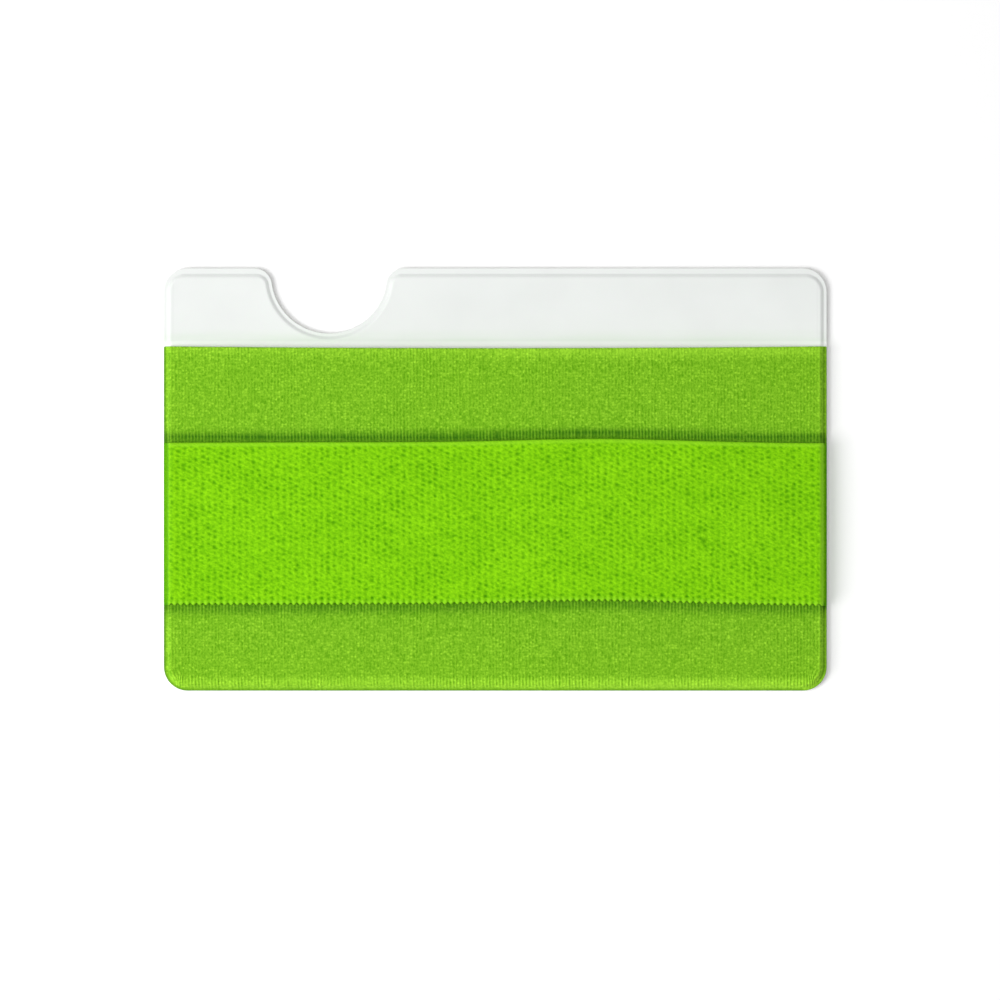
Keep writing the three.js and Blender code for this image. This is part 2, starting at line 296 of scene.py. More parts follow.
class StrapSettings(bpy.types.PropertyGroup):
    """Sizes and colours of the woven finger strap."""

    width: length("Width", "Width of the strap", 23.3)
    bow: length("Bow", "How far the strap bows towards the mouth right of its middle", 0.48)
    bow_place: length("Bow place", "From the middle of the holder to where the strap bows most", 15)
    bow_reach: length("Bow reach", "How far to each side the bow runs out", 15)
    thickness: length("Thickness", "Thickness along the middle of the strap", 1.0)
    edge_thickness: length("Edge thickness", "Thickness at the strap's two edges", 0.8)
    weld_thickness: length("Weld thickness", "Thickness of the strap's pressed ends", 0.35)
    weld_inset: length("Weld width", "Width of the pressed band at each end", 0.3)
    shoulder: length("Shoulder", "Width over which the pressed ends swell to full thickness", 0.7)
    weft_pitch: length("Weft pitch", "From one column of pits to the next", 0.908)
    pit_pitch: length("Pit pitch", "From one pit to the next in a column", 0.769)
    pit_depth: length("Pit depth", "Depth of a pit of the weave", 0.1)
    picot_depth: length("Picot depth", "How far the loops stand out along the lower edge", 0.35)
    weld_groove: length("Weld groove", "Depth of the line that the weld presses into each end", 0.12)
    deep: colour("Ground", "Colour of the elastic's ground yarns", 0.1, 0.385, 0.0002)
    light: colour("Yarns", "Colour of the elastic's raised yarns", 0.31, 0.76, 0.006)
    # The pit colour is painted shade in the weave's pits and at the pinched corners; it also darkens the
    # pressed ends and the smudge.
    dark: colour("Pits", "Colour down in the weave's pits", 0.05, 0.25, 0.0002)
    # The loop colour is partly the loops' own paler yarn and partly a painted highlight; it also paints
    # highlights along the upper edge and near the ends.
    pale: colour("Loops", "Colour of the loops along the lower edge", 0.31, 0.72, 0.022)


class BackingSettings(bpy.types.PropertyGroup):
    """Colours of the adhesive pad and its release liner."""

    adhesive: colour("Adhesive", "Colour of the adhesive film", 0.78, 0.8, 0.77)
    paper: colour("Paper", "Colour of the siliconised paper", 0.8, 0.775, 0.7)


class StageSettings(bpy.types.PropertyGroup):
    """Camera distance, framing and floor."""

    camera_height: length("Camera height", "From the floor up to the camera", 1000)
    frame_width: length("Frame width", "Width of the floor that the picture shows", 144.8)
    aim_x: signed_length("Aim X", "Middle of the picture, along X", 0.68)
    aim_y: signed_length("Aim Y", "Middle of the picture, along Y", -2.97)
    floor: colour("Floor", "Colour of the floor", 0.98, 0.98, 0.98)


class CardHolderSettings(bpy.types.PropertyGroup):
    """Everything that a user can change, one group for each piece."""

    plate: PointerProperty(type=PlateSettings)
    pocket: PointerProperty(type=PocketSettings)
    strap: PointerProperty(type=StrapSettings)
    backing: PointerProperty(type=BackingSettings)
    stage: PointerProperty(type=StageSettings)


# Small sums


def lerp(a, b, t):
    return a + (b - a) * t


def bell(distance, width):
    """1 at no distance, falling smoothly to nothing past about twice the width."""
    return math.exp(-((distance / width) ** 2))


def smoothstep(value, low, high):
    t = min(max((value - low) / (high - low), 0.0), 1.0)
    return t * t * (3 - 2 * t)


def by_side(x, left_and_right):
    """Of two values, the first left of the holder's middle and the second right of it."""
    return left_and_right[x >= 0]


def drift(x, y, seed):
    """Smooth noise over the plan, the same at each run."""
    return noise.noise(Vector((x, y, seed)))


# Forms of the cloth layers


class PocketForm:
    """Heights of the pocket cloth over the plate."""

    def __init__(self, plate, pocket, strap):
        self.corner_x = HALF_WIDTH - plate.corner_radius
        self.corner_y = HALF_HEIGHT - plate.corner_radius
        self.weld = pocket.weld_inset
        self.slope_end = plate.rim_width + plate.rim_slope
        self.full = pocket.weld_inset + pocket.shoulder
        self.thick = pocket.thickness
        self.weld_thick = pocket.weld_thickness
        self.sag = pocket.mouth_sag
        self.gap = pocket.loose_gap
        self.tail_swell = pocket.tail_swell
        self.seat_swell = pocket.strap_seat_swell
        self.mouth_swell = pocket.mouth_swell
        self.strap_half = strap.width / 2
        self.strap_end = STRAP_LOW.y + self.strap_half
        self.bow = strap.bow
        self.bow_place = strap.bow_place
        self.bow_reach = strap.bow_reach

    def mouth(self, x):
        """Height of the mouth's edge at a place across the holder."""
        return PANEL_HIGH.y - self.sag * (1 - (x / HALF_WIDTH) ** 2)

    def strap_middle(self, x):
        """Height of the strap's middle line. It bows a little all along and most right of the middle."""
        share = x / HALF_WIDTH
        bowed = self.bow * bell(x - self.bow_place, self.bow_reach) + EVEN_BOW * (1 - share * share)
        return self.strap_end + bowed - END_DROP * smoothstep(share, 0.6, 1.0)

    def inset(self, x, y):
        """Distance inside the three welded edges."""
        return min(HALF_WIDTH - abs(x), HALF_HEIGHT + y)

    def swell(self, x, y):
        """Bulge off the plate: most at the mouth, least under the strap."""
        field = HALF_WIDTH - self.slope_end
        across = 1 - min(abs(x) / field, 1) ** 4
        strap_top = self.strap_middle(x) + self.strap_half
        strap_bottom = self.strap_middle(x) - self.strap_half
        bottom = self.slope_end - HALF_HEIGHT
        tail = lerp(bottom, strap_bottom, 0.5)
        mouth = self.mouth(x)
        y = min(y, mouth)
        if y <= tail:
            return across * lerp(0, self.tail_swell, smoothstep(y, bottom, tail))
        if y <= strap_bottom:
            return across * lerp(self.tail_swell, self.seat_swell, smoothstep(y, tail, strap_bottom))
        if y <= strap_top:
            return across * self.seat_swell
        return across * lerp(self.seat_swell, self.mouth_swell, smoothstep(y, strap_top, mouth))

    def underside(self, x, y):
        inset = self.inset(x, y)
        over_slope = smoothstep(inset, self.weld, self.slope_end) * (PLATE_TOP + SLOPE_ROOM - RIM_TOP)
        opened = smoothstep(inset, self.weld, self.full) * (self.gap - SLOPE_ROOM + self.swell(x, y))
        return RIM_TOP + over_slope + opened

    def thickness(self, x, y):
        return lerp(self.weld_thick, self.thick, smoothstep(self.inset(x, y), self.weld, self.full))

    def top(self, x, y):
        return self.underside(x, y) + self.thickness(x, y)

    def past_strap(self, x, y):
        """Distance above the strap's upper edge or below its lower one, negative between them."""
        return abs(y - self.strap_middle(x)) - self.strap_half

    def past_weld_line(self, x, y):
        """Distance inside the weld's pressed line, negative on the flange outside it."""
        line = by_side(x, (WELD_LINE_LEFT, WELD_LINE_RIGHT))
        return min(HALF_WIDTH - abs(x) - line, HALF_HEIGHT + y - WELD_LINE_FOOT)

    def weld_line(self, x, y):
        return bell(self.past_weld_line(x, y), WELD_LINE_WIDTH)

    def flange(self, x, y):
        """From 1 on the pressed flange to 0 inside the weld's line."""
        return smoothstep(-self.past_weld_line(x, y), 0.0, WELD_LINE_WIDTH)

    def tuck_and_shade(self, x, y):
        """From 1 in the band beside the strap, where the cloth is ribbed more and painted shade darkens it,
        to 0 where the cloth lies open.
        """
        past = self.past_strap(x, y)
        if y > self.strap_middle(x):
            return bell(past - STRAP_SHADE_ABOVE, STRAP_SHADE_ABOVE_WIDTH)
        return STRAP_SHADE_BELOW_SHARE * bell(past - STRAP_SHADE_BELOW, STRAP_SHADE_BELOW_WIDTH)

    def pinch_shade(self, x, y):
        """From 1 where an edge of the strap runs into the weld, where painted shade darkens the crease, to 0
        away from there.
        """
        return bell(self.past_strap(x, y), PINCH_SHADE_HEIGHT) * bell(self.inset(x, y) - self.weld, PINCH_SHADE_WIDTH)

    def margin(self, x, y):
        """From 1 along the mouth and the welded edges to 0 in the middle of the cloth."""
        return 1 - smoothstep(min(self.inset(x, y), self.mouth(x) - y), MARGIN_START, MARGIN_END)

    def bend(self, x, y):
        """Carries a place of the sharp-cornered plan onto the round bottom corners."""
        beyond_x = abs(x) - self.corner_x
        beyond_y = -y - self.corner_y
        if beyond_x <= 0 or beyond_y <= 0:
            return x, y
        scale = max(beyond_x, beyond_y) / math.hypot(beyond_x, beyond_y)
        return math.copysign(self.corner_x + beyond_x * scale, x), -(self.corner_y + beyond_y * scale)


class StrapForm:
    """Heights of the finger strap over the pocket cloth."""

    def __init__(self, pocket_form, strap):
        self.under_it = pocket_form
        self.weld = strap.weld_inset
        self.full = strap.weld_inset + strap.shoulder
        self.weld_thick = strap.weld_thickness
        self.edge_thick = strap.edge_thickness
        self.thick = strap.thickness
        self.half = strap.width / 2

    def rise(self, x):
        """From 0 in the pressed ends to 1 where the strap has its full thickness."""
        return smoothstep(HALF_WIDTH - abs(x), self.weld, self.full)

    def underside(self, x, y):
        loose = smoothstep(self.under_it.inset(x, y), self.weld, self.under_it.full)
        return self.under_it.top(x, y) + loose * self.under_it.gap


# Meshes


def make_piece(name, mesh_maker, finish, node):
    """A new piece from a bmesh, standing for a CAD node, which it hides, and attached to the root body."""
    mesh = bpy.data.meshes.new(name)
    mesh_maker.to_mesh(mesh)
    mesh_maker.free()
    mesh.materials.append(finish)
    piece = bpy.data.objects.new(name, mesh)
    bpy.context.scene.collection.objects.link(piece)
    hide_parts(node)
    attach(piece, "root")
    return piece


def blank_ring(plate, inset, top_inset, z):
    """Places along the blank's outline, so far inside its edge, at one height, and the first once more."""
    corner = plate.corner_radius - inset
    top_corner = plate.corner_radius - top_inset
    lip = plate.notch_lip - top_inset
    notch = plate.notch_radius + inset
    corner_x = HALF_WIDTH - plate.corner_radius
    corner_y = HALF_HEIGHT - plate.corner_radius
    top_corner_x = HALF_WIDTH - inset - top_corner
    notch_x = plate.notch_from_left - HALF_WIDTH
    notch_y = HALF_HEIGHT - plate.notch_drop
    lip_y = HALF_HEIGHT - plate.notch_lip
    lip_x = math.sqrt((notch + lip) ** 2 - (lip_y - notch_y) ** 2)
    tilt = math.atan2(notch_y - lip_y, lip_x)
    quarter = math.pi / 2
    arcs = [
        ((top_corner_x, corner_y), top_corner, 0, quarter, CORNER_STEPS),
        ((notch_x + lip_x, lip_y), lip, quarter, quarter - tilt, LIP_STEPS),
        ((notch_x, notch_y), notch, -tilt, 2 * tilt - math.pi, NOTCH_STEPS),
        ((notch_x - lip_x, lip_y), lip, tilt, quarter - tilt, LIP_STEPS),
        ((-top_corner_x, corner_y), top_corner, quarter, quarter, CORNER_STEPS),
        ((-corner_x, -corner_y), corner, 2 * quarter, quarter, CORNER_STEPS),
        ((corner_x, -corner_y), corner, 3 * quarter, quarter, CORNER_STEPS),
    ]
    places = []
    for (centre_x, centre_y), radius, begin, sweep, steps in arcs:
        for i in range(steps + 1):
            angle = begin + sweep * i / steps
            x = centre_x + radius * math.cos(angle)
            places.append(Vector((x, centre_y + radius * math.sin(angle), z)))
    return places + places[:1]


def plate_mesh(plate):
    """The back plate: rings of its outline from the underside up over the rim to the face."""
    rim_end = plate.rim_width + plate.rim_slope
    wider = plate.top_rim_width - plate.rim_width
    rise = PLATE_TOP - RIM_TOP
    rounded = plate.edge_round
    bead = plate.bead_width
    rings = [
        (rounded / 2, 0, PLATE_LOW.z),
        (0, 0, PLATE_LOW.z + rounded / 2),
        (0, 0, RIM_TOP - rounded),
        (rounded * 0.3, 0, RIM_TOP - rounded * 0.3),
        (rounded, 0, RIM_TOP),
        (rounded * 1.5, 0, RIM_TOP),
        (plate.rim_width - rounded * 1.5, wider, RIM_TOP),
        (plate.rim_width - rounded, wider, RIM_TOP),
        (plate.rim_width, wider, RIM_TOP + rise * 0.06),
        (plate.rim_width + plate.rim_slope * 0.2, wider, RIM_TOP + rise * 0.22),
        (rim_end - plate.rim_slope * 0.2, wider, PLATE_TOP - rise * 0.16),
        (rim_end + rounded / 2, wider, PLATE_TOP + plate.bead_height * 0.6),
        (rim_end + bead * 0.4, wider, PLATE_TOP + plate.bead_height),
        (rim_end + bead * 0.75, wider, PLATE_TOP + plate.bead_height * 0.4),
        (rim_end + bead, wider, PLATE_TOP),
    ]
    outlines = [blank_ring(plate, inset, inset + extra, z) for inset, extra, z in rings]
    return rolled_sheet([[(place, {}) for place in outline] for outline in outlines])


def rolled_sheet(sections):
    """Closed mesh of a sheet: a grid with a column for each section, rolled round it, its ends filled.
    Each point of a section is its place and its marks, which become the mesh's attributes."""
    columns = len(sections) - 1
    rows = len(sections[0]) - 1
    bm = bmesh.new()
    layers = {name: bm.verts.layers.float.new(name) for name in sections[0][0][1]}
    bmesh.ops.create_grid(bm, x_segments=columns, y_segments=rows, size=1)
    for vert in bm.verts:
        column = round((vert.co.x + 1) / 2 * columns)
        row = round((vert.co.y + 1) / 2 * rows)
        place, marks = sections[column][row]
        vert.co = place
        for name, layer in layers.items():
            vert[layer] = marks[name]
    bmesh.ops.remove_doubles(bm, verts=bm.verts, dist=MERGE)
    rim = [edge for edge in bm.edges if edge.is_boundary]
    ends = bmesh.ops.holes_fill(bm, edges=rim, sides=0)["faces"]
    bmesh.ops.triangulate(bm, faces=ends)
    bmesh.ops.recalc_face_normals(bm, faces=bm.faces)
    return bm


def edge_share(inset, rounding):
    """Share of its thickness that a layer keeps so near its cut edge."""
    t = min(max(inset / rounding, 0.0), 1.0)
    return lerp(EDGE_LEFT, 1.0, math.sqrt(t * (2 - t)))


def rib_height(x, y, pitch):
    """Knitted ribs, from 0 in a furrow to 1 on a crest. They wander and vary a little."""
    wander = RIB_WANDER * pitch * drift(x / pitch * 0.35, y / pitch * 0.11, 3.1)
    return 0.5 + 0.5 * math.cos(TURN * (x + wander) / pitch)


def rib_strength(x, y, pitch):
    """How strongly a rib shows: each one by itself, in patches along it."""
    lone = drift(x / pitch * 0.9, y / pitch * 0.08, 7.7)
    patch = drift(x / pitch * 0.07, y / pitch * 0.05, 1.3)
    return max(RIB_LEAST, RIB_MEAN + RIB_LONE * lone + RIB_PATCH * patch)


def at_foot(y):
    """From 1 along the cloth's bottom edge to 0 above it."""
    return 1 - smoothstep(HALF_HEIGHT + y, FOOT_START, FOOT_END)


def cloth_ribs(form, pocket, x, y):
    """A rib's height from 0 to 1, and how strongly it stands out. Drawn-in cloth is ribbed more."""
    strength = rib_strength(x, y, pocket.rib_pitch)
    foot = smoothstep(form.inset(x, y), GATHER_START, GATHER_END) * at_foot(y)
    drawn_in = 1 + RIB_AT_TUCK * form.tuck_and_shade(x, y) + RIB_AT_MARGIN * form.margin(x, y) + RIB_AT_FOOT * foot
    return rib_height(x, y, pocket.rib_pitch), strength * drawn_in


def cloth_marks(form, pocket, x, y):
    """The marks that the cloth's finish reads: how light a rib is, with painted light along the margin, hem
    and foot, and how dark a fold, which holds the darker pressed line and flange and painted shade beside
    the strap and in the pinches.
    """
    rib, strength = cloth_ribs(form, pocket, x, y)
    # Painted light along the margin, stronger on the right where the shoulder lies in shade, a painted
    # highlight along the hem, and painted light on the foot's slope.
    light = 0.5 + (rib - 0.5) * strength + by_side(x, MARGIN_PAINTED_LIGHT) * form.margin(x, y)
    light += HEM_PAINTED_HIGHLIGHT * (1 - smoothstep(form.mouth(x) - y, HEM_START, HEM_END))
    light += FOOT_PAINTED_LIGHT * at_foot(y)
    furrow = lerp(1.0, CREST_SHARE, min(rib * strength, 1.0))
    at_right = x > form.corner_x
    open_share = 1 - WELD_LINE_DARK[at_right] * form.weld_line(x, y)
    open_share *= 1 - FLANGE_DARK[at_right] * form.flange(x, y)
    # Painted shade in the band beside the strap, deeper in the rib furrows.
    open_share *= 1 - min(STRAP_SHADE_DARKEST, STRAP_SHADE_DARK * form.tuck_and_shade(x, y) * furrow)
    # Painted shade in the crease where each edge of the strap runs into the weld.
    open_share *= 1 - PINCH_SHADE_DARK * form.pinch_shade(x, y)
    return {"rib": light, "fold": 1 - open_share}


def cloth_point(form, pocket, x, y, side):
    """A point of the pocket cloth's front, side 1, or of its back, side -1."""
    inset = form.inset(x, y)
    half_thick = form.thickness(x, y) / 2
    middle = form.underside(x, y) + half_thick
    z = middle + side * half_thick * edge_share(inset - CLOTH_SETBACK, CLOTH_EDGE_ROUND)
    marks = {"rib": 0.5, "fold": 0.0}
    if side > 0:
        rib, strength = cloth_ribs(form, pocket, x, y)
        loose = smoothstep(inset, form.weld, form.full)
        z += loose * pocket.rib_relief * rib * strength
        z += loose * PUCKER_HEIGHT * drift(x / PUCKER_ACROSS, y / PUCKER_ALONG, 5.0)
        z -= form.weld_line(x, y) * pocket.weld_groove
        marks = cloth_marks(form, pocket, x, y)
    px, py = form.bend(x, y)
    return Vector((px, py, z)), marks


def pocket_sections(form, pocket):
    """The pocket cloth's sections: from the bottom weld along the underside, round the mouth and back."""
    columns = round(2 * HALF_WIDTH / pocket.rib_pitch * COLUMNS_PER_RIB)
    half = HALF_WIDTH - CLOTH_SETBACK
    low = CLOTH_SETBACK - HALF_HEIGHT
    sections = []
    for i in range(columns + 1):
        x = lerp(-half, half, i / columns)
        fold = form.thickness(x, form.mouth(x)) / 2
        fold_line = form.mouth(x) - fold
        points = []
        for j in range(POCKET_UNDER_ROWS + 1):
            y = lerp(low, fold_line, (j / POCKET_UNDER_ROWS) ** 2)
            points.append(cloth_point(form, pocket, x, y, -1))
        centre = form.underside(x, fold_line) + fold
        reach = fold * edge_share(half - abs(x), CLOTH_EDGE_ROUND)
        rib, strength = cloth_ribs(form, pocket, x, fold_line)
        ribbed = pocket.rib_relief * rib * strength * smoothstep(half - abs(x), form.weld, form.full)
        marks = cloth_marks(form, pocket, x, fold_line)
        for j in range(1, NOSE_STEPS):
            angle = math.pi * (j / NOSE_STEPS - 0.5)
            out = reach + ribbed * j / NOSE_STEPS
            place = Vector((x, fold_line + out * math.cos(angle), centre + out * math.sin(angle)))
            points.append((place, marks))
        for j in range(POCKET_ROWS, -1, -1):
            y = lerp(low, fold_line, (j / POCKET_ROWS) ** 1.4)
            points.append(cloth_point(form, pocket, x, y, 1))
        points.append(points[0])
        sections.append(points)
    return sections


def pit_at(x, y, strap):
    """The weave's pits at a place: how deep, from 0 to about 1. They stand on a staggered lattice."""
    column = round(x / strap.weft_pitch - 0.5)
    deep = 0.0
    for c in (column - 1, column, column + 1):
        stagger = 0.5 * (c % 2)
        row = round(y / strap.pit_pitch - stagger)
        for r in (row - 1, row, row + 1):
            chance = noise.cell_vector(Vector((c, r, 0.5)))
            other = noise.cell_vector(Vector((c, r, 9.5)))
            px = (c + 0.5 + PIT_SHIFT_ACROSS * (chance.x - 0.5)) * strap.weft_pitch
            py = (r + stagger + PIT_SHIFT_ALONG * (chance.y - 0.5)) * strap.pit_pitch
            angle = PIT_SLANT + PIT_TURN * (chance.z - 0.5)
            dx = x - px
            dy = y - py
            along = (dx * math.cos(angle) + dy * math.sin(angle)) / (PIT_LENGTH * lerp(0.75, 1.35, other.y))
            across = (dy * math.cos(angle) - dx * math.sin(angle)) / (PIT_WIDTH * lerp(0.85, 1.2, other.z))
            deep += lerp(0.4, 1.1, other.x) * math.exp(-(along * along + across * across))
    return deep


def loop_at(x, strap):
    """From 1 in the middle of a loop of the strap's lower edge to 0 between two."""
    return 0.5 + 0.5 * math.cos(TURN * x / strap.weft_pitch)


def weave_marks(form, strap, x, y, foot):
    """At a place of the strap's front, the depth of the weave's pits, and the marks that its finish reads:
    how dark it is, with painted shade in the pits and pinched corners, and how pale, a loop's paler yarn
    with a painted highlight, and painted highlights along the upper edge and near the ends.
    Foot is where the looped lower edge is at its lowest."""
    inset = HALF_WIDTH - abs(x)
    rise = form.rise(x)
    loop = loop_at(x, strap)
    over_foot = y - foot
    under_top = form.half - form.edge_thick / 2 - y
    plain_edge = smoothstep(under_top, PLAIN_TOP_START, PLAIN_TOP_END)
    plain_edge *= smoothstep(over_foot, PLAIN_FOOT_START, PLAIN_FOOT_END)
    pit = pit_at(x, y, strap) * plain_edge
    wide = 2 * strap.weft_pitch
    off_hole = ((x / wide - 0.25) - round(x / wide - 0.25)) * wide
    pit += HOLE_DEPTH * bell(off_hole, HOLE_ACROSS) * bell(over_foot - HOLE_HEIGHT, HOLE_ALONG)
    pit += GAP_DEPTH * (1 - loop) ** 1.5 * bell(over_foot - GAP_HEIGHT, GAP_REACH)
    pit *= rise
    # Paler loops, partly a painted highlight, a painted highlight along the upper edge and painted light
    # near each end.
    pale = BEAD_LIGHT * rise * loop * bell(over_foot - BEAD_HEIGHT, BEAD_REACH)
    pale += TOP_EDGE_HIGHLIGHT * bell(under_top, TOP_EDGE_HIGHLIGHT_WIDTH)
    pale += by_side(x, END_PAINTED_LIGHT) * bell(inset - by_side(x, END_PAINTED_LIGHT_INSET), END_PAINTED_LIGHT_WIDTH)
    # Darker pressed ends; on the left the band reaches further in, a painted shade over the lit shoulder.
    press = 1 - smoothstep(inset, by_side(x, PRESS_START), by_side(x, PRESS_END))
    on_holder = form.under_it.strap_middle(x) + y
    # Painted shade where an edge of the strap runs into the weld.
    pinch_shade = form.under_it.pinch_shade(x, on_holder)
    smudge = bell(math.hypot(x - SMUDGE[0], on_holder - SMUDGE[1]), SMUDGE_RADIUS)
    dark = max(PIT_SHADE_DARK * pit, PRESS_DARK * press, STRAP_PINCH_SHADE_DARK * pinch_shade, SMUDGE_DARK * smudge)
    return pit, {"pit": min(dark, 1.0), "bead": min(pale, 1.0) * (1 - press)}


def strap_sections(form, strap):
    """The strap's sections: along its underside, round the smooth upper edge, back over the woven top and
    round the looped lower edge."""
    pocket_form = form.under_it
    half = HALF_WIDTH - CLOTH_SETBACK
    columns = round(2 * half / strap.weft_pitch * STRAP_COLUMNS_PER_PITCH)
    plain = {"pit": 0.0, "bead": 0.0}
    sections = []
    for i in range(columns + 1):
        x = lerp(-half, half, i / columns)
        rise = form.rise(x)
        edge = lerp(form.weld_thick, form.edge_thick, rise)
        crown = lerp(form.weld_thick, form.thick, rise) - edge
        kept = edge_share(half - abs(x), CLOTH_EDGE_ROUND)
        reach = edge / 2
        flat = form.half - reach
        loop = loop_at(x, strap)
        foot = FOOT_REACH - FOOT_DROP - form.half
        low = foot + (1 - loop) * rise * strap.picot_depth
        line = pocket_form.strap_middle(x)
        groove = strap.weld_groove * bell(HALF_WIDTH - abs(x) - END_GROOVE_INSET, END_GROOVE_WIDTH)
        points = []
        for j in range(STRAP_UNDER_ROWS + 1):
            y = lerp(low, flat, j / STRAP_UNDER_ROWS)
            points.append((Vector((x, line + y, form.underside(x, line + y) + reach * (1 - kept))), plain))
        middle = form.underside(x, line + flat) + reach
        marks = weave_marks(form, strap, x, flat, foot)[1]
        for j in range(1, SELVEDGE_STEPS):
            angle = math.pi * (j / SELVEDGE_STEPS - 0.5)
            up = reach * kept * math.sin(angle)
            points.append((Vector((x, line + flat + reach * math.cos(angle), middle + up)), marks))
        for j in range(STRAP_ROWS, -1, -1):
            y = lerp(low, flat, j / STRAP_ROWS)
            pit, marks = weave_marks(form, strap, x, y, foot)
            z = form.underside(x, line + y) + reach * (1 + kept) + crown * (1 - (y / flat) ** 2)
            z += rise * YARN_RELIEF * drift(x / YARN_ACROSS + y / YARN_SLANT, y / YARN_ALONG, 2.0)
            z += loop * rise * bell(y - foot - BEAD_TOP, BEAD_ROUND) * BEAD_RELIEF
            z -= pit * strap.pit_depth + groove
            points.append((Vector((x, line + y, z)), marks))
        middle = form.underside(x, line + low) + reach
        marks = weave_marks(form, strap, x, low, foot)[1]
        for j in range(1, SELVEDGE_STEPS):
            angle = math.pi * (j / SELVEDGE_STEPS + 0.5)
            up = reach * kept * math.sin(angle)
            points.append((Vector((x, line + low + FOOT_REACH * math.cos(angle), middle + up)), marks))
        points.append(points[0])
        sections.append(points)
    return sections


# Finishes


def node(tree, kind, inputs=None, **settings):
    """A shader node of one kind. An input that is given as a socket is linked, and any other is set."""
    made = tree.nodes.new(kind)
    for name, value in settings.items():
        setattr(made, name, value)
    for name, value in (inputs or {}).items():
        if isinstance(value, bpy.types.NodeSocket):
            tree.links.new(value, made.inputs[name])
        else:
            made.inputs[name].default_value = value
    return made


def object_place(tree):
    """The object's own coordinates, in metres."""
    return node(tree, "ShaderNodeTexCoord").outputs["Object"]


def maths(tree, operation, *values):
    return node(tree, "ShaderNodeMath", dict(enumerate(values)), operation=operation).outputs[0]


def new_finish(name, **sockets):
    """A material with one principled shader, and that shader's constants set on its own sockets."""
    finish = bpy.data.materials.new(name)
    finish.use_nodes = True
    shader = finish.node_tree.nodes["Principled BSDF"]
    for socket, value in sockets.items():
        shader.inputs[socket.replace("_", " ")].default_value = value
    return finish, finish.node_tree, shader


def grain(tree, scale, stretch=(1, 1, 1), detail=2.0, rough=0.5):
    """Noise on the object's own coordinates, so many grains to a metre."""
    mapped = node(tree, "ShaderNodeMapping", {"Vector": object_place(tree), "Scale": stretch}).outputs[0]
    inputs = {"Vector": mapped, "Scale": scale, "Detail": detail, "Roughness": rough}
    return node(tree, "ShaderNodeTexNoise", inputs).outputs["Fac"]


def shades(tree, factor, dark, light):
    """A colour between two shades, or past them, by a factor."""
    inputs = {"Factor": factor, "A": (*dark, 1), "B": (*light, 1)}
    return node(tree, "ShaderNodeMix", inputs, data_type="RGBA", clamp_factor=False).outputs["Result"]


def tinged(tree, factor, under, shade):
    """A colour carried towards one shade by a factor."""
    inputs = {"Factor": factor, "A": under, "B": (*shade, 1)}
    return node(tree, "ShaderNodeMix", inputs, data_type="RGBA").outputs["Result"]


def bump(tree, height, distance, strength=1.0):
    made = node(tree, "ShaderNodeBump", {"Height": height, "Distance": distance, "Strength": strength})
    return made.outputs["Normal"]


def scaled(shade, factor):
    return tuple(min(1.0, channel * factor) for channel in shade)


def mark(tree, name):
    """A mark that the piece's mesh carries at each of its points."""
    return node(tree, "ShaderNodeAttribute", attribute_name=name, attribute_type="GEOMETRY").outputs["Fac"]


def total(tree, *parts):
    """Sum of factors, each with its weight."""
    whole = 0.0
    for factor, weight in parts:
        whole = maths(tree, "MULTIPLY_ADD", factor, weight, whole)
    return whole


def ranged(tree, value, low, high, to_low=0.0, to_high=1.0, clamp=True):
    """A value carried from one range to another."""
    inputs = {"Value": value, "From Min": low, "From Max": high, "To Min": to_low, "To Max": to_high}
    return node(tree, "ShaderNodeMapRange", inputs, clamp=clamp).outputs[0]


def frosted_plastic(plate):
    """Milky translucent soft plastic: faintly cloudy, with a painted shadow beside the hem tinged green like
    light bounced off the cloth and a painted light right at the hem, and with the adhesive pad's edge
    showing through as a faint line."""
    finish, tree, shader = new_finish("frosted_plastic", Roughness=0.38, IOR=1.46, Subsurface_Weight=0.12)
    shader.inputs["Subsurface Scale"].default_value = 1.0
    shader.inputs["Subsurface Radius"].default_value = SCATTER
    axes = node(tree, "ShaderNodeSeparateXYZ", {"Vector": object_place(tree)}).outputs
    hem = PANEL_HIGH.y
    # Painted shadow of the hem, streaked and tinged green, then a painted light right at the hem.
    near_hem = ranged(tree, axes["Y"], hem + HEM_SHADE_START, hem + HEM_SHADE_END)
    streak = ranged(tree, grain(tree, 900, (0.09, 1.0, 1.0), detail=3), 0.35, 0.65)
    hem_shade = maths(tree, "MULTIPLY", near_hem, maths(tree, "MULTIPLY_ADD", streak, 0.6, 0.4))
    beside = maths(tree, "SUBTRACT", maths(tree, "ABSOLUTE", axes["X"]), PAD_HIGH.x)
    above = maths(tree, "SUBTRACT", axes["Y"], PAD_HIGH.y)
    off_pad = maths(tree, "ABSOLUTE", maths(tree, "MAXIMUM", beside, above))
    pad_line = ranged(tree, off_pad, PAD_LINE_WIDTH, 0.0, 0.0, PAD_LINE_DARK)
    cloud = total(tree, (grain(tree, 90, detail=3), 1.0), (pad_line, -1.0))
    milky = shades(tree, cloud, scaled(plate.tint, 0.94), scaled(plate.tint, 1.06))
    green = tinged(tree, hem_shade, milky, plate.hem_shade_tint)
    painted_hem_light = ranged(tree, axes["Y"], hem + HEM_LIT_START, hem + HEM_LIT_END)
    tree.links.new(tinged(tree, painted_hem_light, green, (1, 1, 1)), shader.inputs["Base Color"])
    tree.links.new(bump(tree, grain(tree, 900), 0.01 * MM, 0.6), shader.inputs["Normal"])
    return finish


